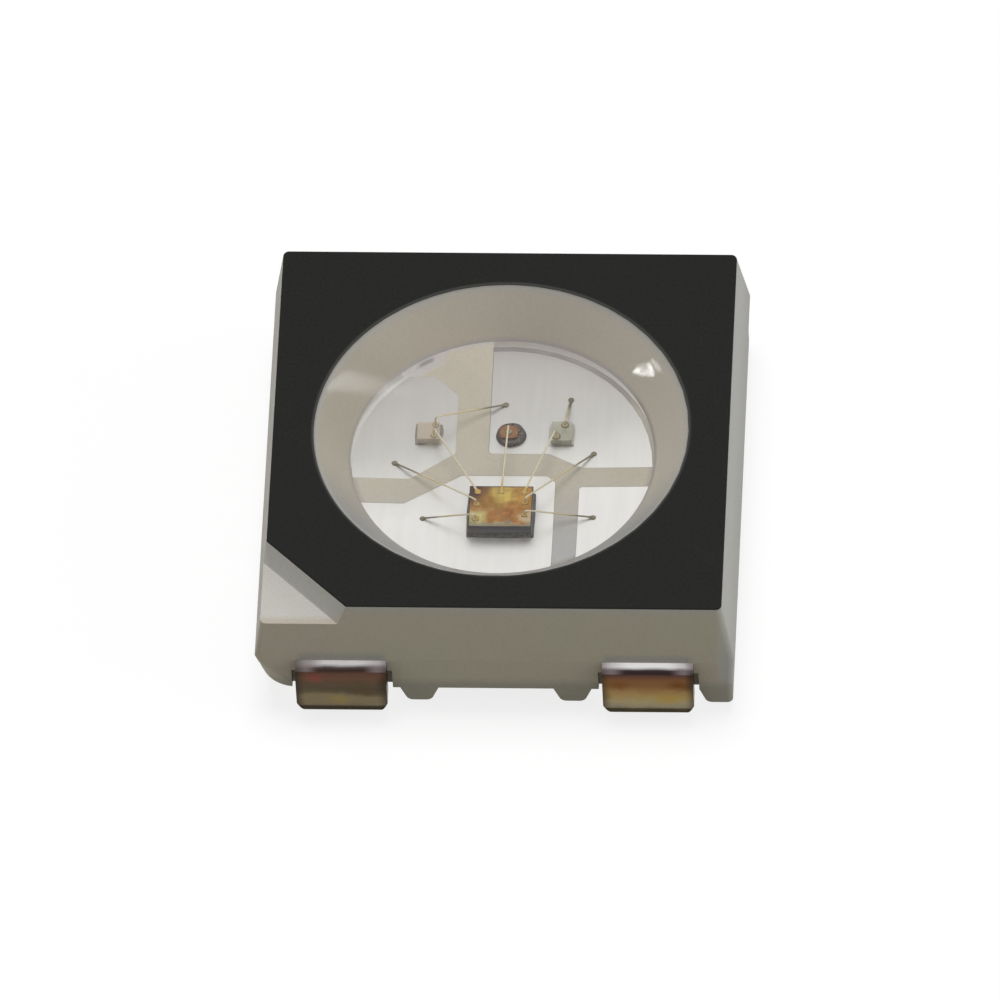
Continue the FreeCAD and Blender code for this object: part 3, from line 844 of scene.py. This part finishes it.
def fill():
    """Clear fill of the cup, turned to its hollow surface, in one closed body."""
    edge = cone_radius(FILL_EDGE_Z)
    foot_z = FLOOR_Z - SET_IN
    profile = [(0, foot_z), (FLOOR_RADIUS + SET_IN, foot_z), (edge + SET_IN, FILL_EDGE_Z)]
    shares = [1 - (i / FILL_STEPS) ** 2 for i in range(FILL_STEPS)]
    profile += [(edge * s, fill_height(edge * s)) for s in shares]
    profile.append((0, fill_height(0)))
    bm = bmesh.new()
    lathe(bm, profile, ROUND_STEPS)
    piece(bm, "fill_body", clear_resin(), "encapsulant", weighted=False)


# Dies

def any_edge(co, edge):
    return True


def upright_edge(co, edge):
    return abs(edge.verts[0].co.z - edge.verts[1].co.z) > UPRIGHT


def die_body(node, name, finish, corner):
    """Die with softened edges, its upright corners rounded by a rounding of their own."""
    bm = cad_mesh(node)
    bevel(bm, *corner, upright_edge)
    bevel(bm, *DIE_ROUND, any_edge)
    piece(bm, name, finish, node)


def split_area(low, high, rng, found):
    """Splits a rectangle at random until its blocks are small, with lanes between them."""
    width, depth = high.x - low.x, high.y - low.y
    if max(width, depth) < BLOCK_LEAST * rng.uniform(*BLOCK_SPLIT):
        found.append((low, high))
        return
    share = rng.uniform(*BLOCK_SHARE)
    if width > depth:
        cut = low.x + width * share
        split_area(low, Vector((cut - BLOCK_LANE, high.y)), rng, found)
        split_area(Vector((cut + BLOCK_LANE, low.y)), high, rng, found)
    else:
        cut = low.y + depth * share
        split_area(low, Vector((high.x, cut - BLOCK_LANE)), rng, found)
        split_area(Vector((low.x, cut + BLOCK_LANE)), high, rng, found)


def circuit(low, high):
    """Circuit blocks on a plate over the driver, each with its own tone."""
    bm = bmesh.new()
    tone = bm.faces.layers.float.new("tone")
    margin = Vector((DRIVER_MARGIN, DRIVER_MARGIN))
    z = high.z
    plate = [(*(low.xy + margin), z - SEAL_DEPTH), (*(high.xy - margin), z + SEAL_HEIGHT)]
    for face in block(bm, *(Vector(corner) for corner in plate)):
        face[tone] = SEAL_TONE
    rng = random.Random(DRIVER_SEED)
    areas = []
    split_area(low.xy + margin * 3, high.xy - margin * 3, rng, areas)
    for a, b in areas:
        top = z + rng.uniform(*BLOCK_HEIGHT)
        level = rng.random()
        for face in block(bm, Vector((*a, z)), Vector((*b, top))):
            face[tone] = level
    piece(bm, "driver_circuit", driver_top(), weighted=False)


def driver(pad_finish):
    """Driver die with its circuit blocks and bond pads."""
    die_body("driver_ic", "driver_body", silicon(), DRIVER_CORNER)
    low, high = box("driver_ic")
    circuit(low, high)
    bm = bmesh.new()
    for x, y in DRIVER_PADS:
        foot = Vector((x - PAD_HALF, y - PAD_HALF, high.z))
        block(bm, foot, Vector((x + PAD_HALF, y + PAD_HALF, high.z + PAD_HEIGHT)))
    bevel(bm, *PAD_ROUND, any_edge)
    piece(bm, "driver_pads", pad_finish)


def emitter(node, name, finish, corner, pad_finish):
    """Light-emitting die with its round electrodes."""
    die_body(node, name, finish, corner)
    z = box(node)[1].z
    bm = bmesh.new()
    for x, y, radius in ELECTRODES[node]:
        profile = [
            (0, -ELECTRODE_DEPTH), (radius, -ELECTRODE_DEPTH), (radius, ELECTRODE_EDGE),
            (radius * 0.9, ELECTRODE_HEIGHT), (0, ELECTRODE_HEIGHT),
        ]
        lathe(bm, profile, ELECTRODE_STEPS, Vector((x, y, z)))
    piece(bm, name + "_electrodes", pad_finish, weighted=False)


# Adhesives

def ringed_solid(levels, steps, spot_at):
    """Solid from rings whose points are spot_at(way, share outwards, share upwards)."""
    angles = [2 * math.pi * i / steps for i in range(steps)]
    ways = [Vector((math.cos(a), math.sin(a))) for a in angles]
    bm = bmesh.new()
    rings = [[bm.verts.new(spot_at(way, out, rise)) for way in ways] for out, rise in levels]
    capped_skin(bm, rings, steps)
    return bm


def paste_fillet(node, name, finish, die, climb, seed):
    """Paste squeezed out round a die: a lumpy skirt that climbs the die's sides."""
    low, high = box(die)
    middle, half = (low.xy + high.xy) / 2, (high.xy - low.xy) / 2

    def spot_at(way, out, rise):
        bearing = Vector((way.x * SKIRT_LUMP_SCALE, way.y * SKIRT_LUMP_SCALE, seed))
        lump = 1 + SKIRT_LUMPS * noise.noise(bearing)
        reach = 1 / max(abs(way.x) / half.x, abs(way.y) / half.y)
        spot = middle + way * reach + way * out * SKIRT_MARGIN * lump
        return (spot.x, spot.y, FLOOR_Z + rise * climb * lump)

    bm = ringed_solid(SKIRT, SKIRT_STEPS, spot_at)
    piece(bm, name, finish, node, sharp=SHARP_PASTE_TURN, weighted=False)


def red_drop(finish):
    """Round drop of silver paste that the red die sits in."""
    low, high = box("attach_red")
    middle, reach = (low.xy + high.xy) / 2, (high.x - low.x) / 2

    def spot_at(way, out, rise):
        seed = DROP_SEED + rise * DROP_SEED_RISE
        bearing = Vector((way.x * DROP_LUMP_SCALE, way.y * DROP_LUMP_SCALE, seed))
        spot = middle + way * reach * out * (1 + DROP_LUMPS * noise.noise(bearing))
        return (spot.x, spot.y, FLOOR_Z + rise)

    bm = ringed_solid(DROP, DROP_STEPS, spot_at)
    piece(
        bm, "red_paste", finish, "attach_red", sharp=SHARP_PASTE_TURN,
        weighted=False,
    )


# Bond wires

def bezier(a, b, c, d, steps):
    """Points of a cubic curve, without its end."""
    points = []
    for i in range(steps):
        t = i / steps
        s = 1 - t
        points.append(a * s ** 3 + b * 3 * s * s * t + c * 3 * s * t * t + d * t ** 3)
    return points


def loop_path(start, end, rise):
    """Centreline of a wire: straight up from the ball, over in a tight turn, down to the stitch."""
    foot, top = start + UP * BALL_HEIGHT / 2, start + UP * rise
    stitch = end + UP * BALL_HEIGHT * STITCH_RISE
    run = (stitch - top).normalized()
    crest = top + run * BEND
    down = stitch - crest
    path = bezier(foot, start + UP * rise * RISE_PULL, crest - run * BEND, crest, BEND_STEPS)
    pull = crest + run * down.length * RUN_PULL + UP * RUN_LIFT
    return path + bezier(crest, pull, stitch - down * STITCH_PULL, stitch, RUN_STEPS) + [stitch]


def sweep(bm, path, sizes):
    """Tube along a path. Sizes are its half widths, sideways and upwards, at each point."""
    rings = []
    across = None
    for i, point in enumerate(path):
        ahead = path[min(i + 1, len(path) - 1)] - path[max(i - 1, 0)]
        ahead.normalize()
        if across is None:
            across = ahead.orthogonal().normalized()
        across = (across - ahead * across.dot(ahead)).normalized()
        upright = ahead.cross(across)
        wide, high = sizes[i]
        ring = []
        for k in range(WIRE_SIDES):
            angle = 2 * math.pi * k / WIRE_SIDES
            side = across * math.cos(angle) + upright * math.sin(angle)
            level = side - UP * side.dot(UP)
            ring.append(bm.verts.new(point + level * wide + UP * side.dot(UP) * high))
        rings.append(ring)
    capped_skin(bm, rings, WIRE_SIDES)


def wires():
    """Each wire with its ball and its stitch bump, pressed flat at the stitch."""
    finish = gold()
    for name, (start, end, rise) in WIRES.items():
        start, end = Vector(start), Vector(end)
        path = loop_path(start, end, rise)
        sizes = []
        for point in path:
            near = min(1.0, (point - path[-1]).length / SQUASH_LENGTH)
            wide = 1 + SQUASH_SPREAD * (1 - near) ** 2
            high = SQUASH_THICKNESS + (1 - SQUASH_THICKNESS) * near
            sizes.append((WIRE_RADIUS * wide, WIRE_RADIUS * high))
        bm = bmesh.new()
        sweep(bm, path, sizes)
        for shares, centre in ((BALL, start), (STITCH, end)):
            profile = [(r * BALL_RADIUS, z * BALL_HEIGHT) for r, z in shares]
            lathe(bm, profile, BALL_STEPS, centre)
        piece(bm, name + "_gold", finish, name, sharp=SHARP_WIRE_TURN, weighted=False)


# Studio

def lamp(name, direction, size, level, mirrored, fading):
    """Area lamp aimed at the part. Its level is what it adds to a white card facing it."""
    data = bpy.data.lights.new(name, "AREA")
    data.shape = "RECTANGLE"
    data.size, data.size_y = (s * MM for s in size)
    data.energy = level * (math.pi * LAMP_DISTANCE * MM) ** 2
    if fading:
        fade_edges(data)
    obj = add_object(name, data)
    way = Vector(direction).normalized()
    obj.location = (AIM + way * LAMP_DISTANCE) * MM
    obj.rotation_euler = way.to_track_quat("Z", "Y").to_euler()
    obj.visible_camera = False
    obj.visible_glossy = mirrored


def fade_edges(data):
    """Lets a lamp's glow fade from its middle to its edges."""
    data.use_nodes = True
    tree = data.node_tree
    tree.nodes.clear()
    place = tree.nodes.new("ShaderNodeNewGeometry").outputs["Parametric"]
    middle = tree.nodes.new("ShaderNodeVectorMath")
    middle.operation = "DISTANCE"
    middle.inputs[1].default_value = (0.5, 0.5, 0)
    tree.links.new(place, middle.inputs[0])
    fade = tree.nodes.new("ShaderNodeMapRange")
    fade.interpolation_type = "SMOOTHSTEP"
    fade.inputs["From Min"].default_value = FADE_START
    fade.inputs["From Max"].default_value = FADE_FULL
    tree.links.new(middle.outputs["Value"], fade.inputs["Value"])
    glow = tree.nodes.new("ShaderNodeEmission")
    tree.links.new(fade.outputs[0], glow.inputs["Strength"])
    out = tree.nodes.new("ShaderNodeOutputLight")
    tree.links.new(glow.outputs[0], out.inputs["Surface"])


def floor():
    """Paper floor: white where it is seen, also in gloss and through the fill, duller as light."""
    f = Finish("floor_paper")
    bounce = f.add("BsdfDiffuse", {0: FLOOR_COLOUR}).outputs[0]
    shade = f.add("BsdfDiffuse", {0: linear(FLOOR_SEEN_GREY)}).outputs[0]
    glow = f.add("Emission", {0: linear(1), 1: FLOOR_GLOW}).outputs[0]
    white = f.add("AddShader", {0: shade, 1: glow}).outputs[0]
    path = f.add("LightPath").outputs
    seen = f.math("MAXIMUM", path["Is Camera Ray"], path["Is Glossy Ray"])
    seen = f.math("MAXIMUM", seen, path["Is Transmission Ray"])
    material = f.surface(f.blend(seen, bounce, white))
    bm = bmesh.new()
    bmesh.ops.create_grid(
        bm, x_segments=FLOOR_CELLS, y_segments=FLOOR_CELLS, size=FLOOR_HALF_METRES,
    )
    mesh = bpy.data.meshes.new("floor")
    bm.to_mesh(mesh)
    bm.free()
    mesh.materials.append(material)
    add_object("floor", mesh)


def world():
    """Pale sky: an even level for lighting, white where it is seen."""
    made = bpy.data.worlds.new("studio")
    bpy.context.scene.world = made
    made.use_nodes = True
    tree = made.node_tree
    tree.nodes.clear()
    path = tree.nodes.new("ShaderNodeLightPath").outputs
    level = None
    for ray in ("Is Camera Ray", "Is Glossy Ray", "Is Transmission Ray"):
        pick = tree.nodes.new("ShaderNodeMix")
        tree.links.new(path[ray], pick.inputs["Factor"])
        if level is None:
            pick.inputs["A"].default_value = SKY_LEVEL
        else:
            tree.links.new(level, pick.inputs["A"])
        pick.inputs["B"].default_value = 1.0
        level = pick.outputs["Result"]
    glow = tree.nodes.new("ShaderNodeBackground")
    tree.links.new(level, glow.inputs["Strength"])
    out = tree.nodes.new("ShaderNodeOutputWorld")
    tree.links.new(glow.outputs[0], out.inputs["Surface"])


def camera():
    """Camera of the photograph, aimed a little off the part's middle and slightly rolled."""
    az, el, roll = (math.radians(a) for a in (AZIMUTH, ELEVATION, ROLL))
    back = Vector((math.sin(az) * math.cos(el), -math.cos(az) * math.cos(el), math.sin(el)))
    right = Vector((math.cos(az), math.sin(az), 0))
    up = back.cross(right)
    right, up = (
        right * math.cos(roll) + up * math.sin(roll),
        up * math.cos(roll) - right * math.sin(roll),
    )
    data = bpy.data.cameras.new("camera")
    data.sensor_width = SENSOR
    data.lens = FOCAL_PIXELS * SENSOR / IMAGE_PIXELS
    data.clip_start, data.clip_end = CLIP_METRES
    obj = add_object("camera", data)
    spot = (AIM + back * CAMERA_DISTANCE - right * AIM_RIGHT - up * AIM_UP) * MM
    turn = Matrix((right, up, back)).transposed().to_4x4()
    obj.matrix_world = Matrix.Translation(spot) @ turn
    bpy.context.scene.camera = obj


def studio():
    """Lights, floor, sky and camera."""
    bpy.context.scene.view_settings.view_transform = "Standard"
    for settings in LAMPS:
        lamp(*settings)
    for name, direction, size, strength in SPARKS:
        level = strength * SPARK_RADIANCE * size[0] * size[1] / (math.pi * LAMP_DISTANCE ** 2)
        lamp(name, direction, size, level, mirrored=True, fading=False)
    floor()
    world()
    camera()


studio()
housing()
top_print()
leads()
fill()
pads = pad_metal()
driver(pads)
paste, glue = silver_epoxy(), clear_glue()
paste_fillet("attach_driver", "driver_paste", paste, "driver_ic", 0.08, 1.0)
red_drop(paste)
paste_fillet("attach_blue", "blue_glue", glue, "blue_die", 0.035, 2.0)
paste_fillet("attach_green", "green_glue", glue, "green_die", 0.035, 3.0)
blue = sapphire("blue_sapphire", (236, 224, 206), (216, 198, 180))
green = sapphire("green_sapphire", (216, 218, 200), (186, 188, 168))
emitter("blue_die", "blue_chip", blue, CHIP_CORNER, pads)
emitter("green_die", "green_chip", green, CHIP_CORNER, pads)
emitter("red_die", "red_chip", red_chip(), RED_CORNER, pads)
wires()
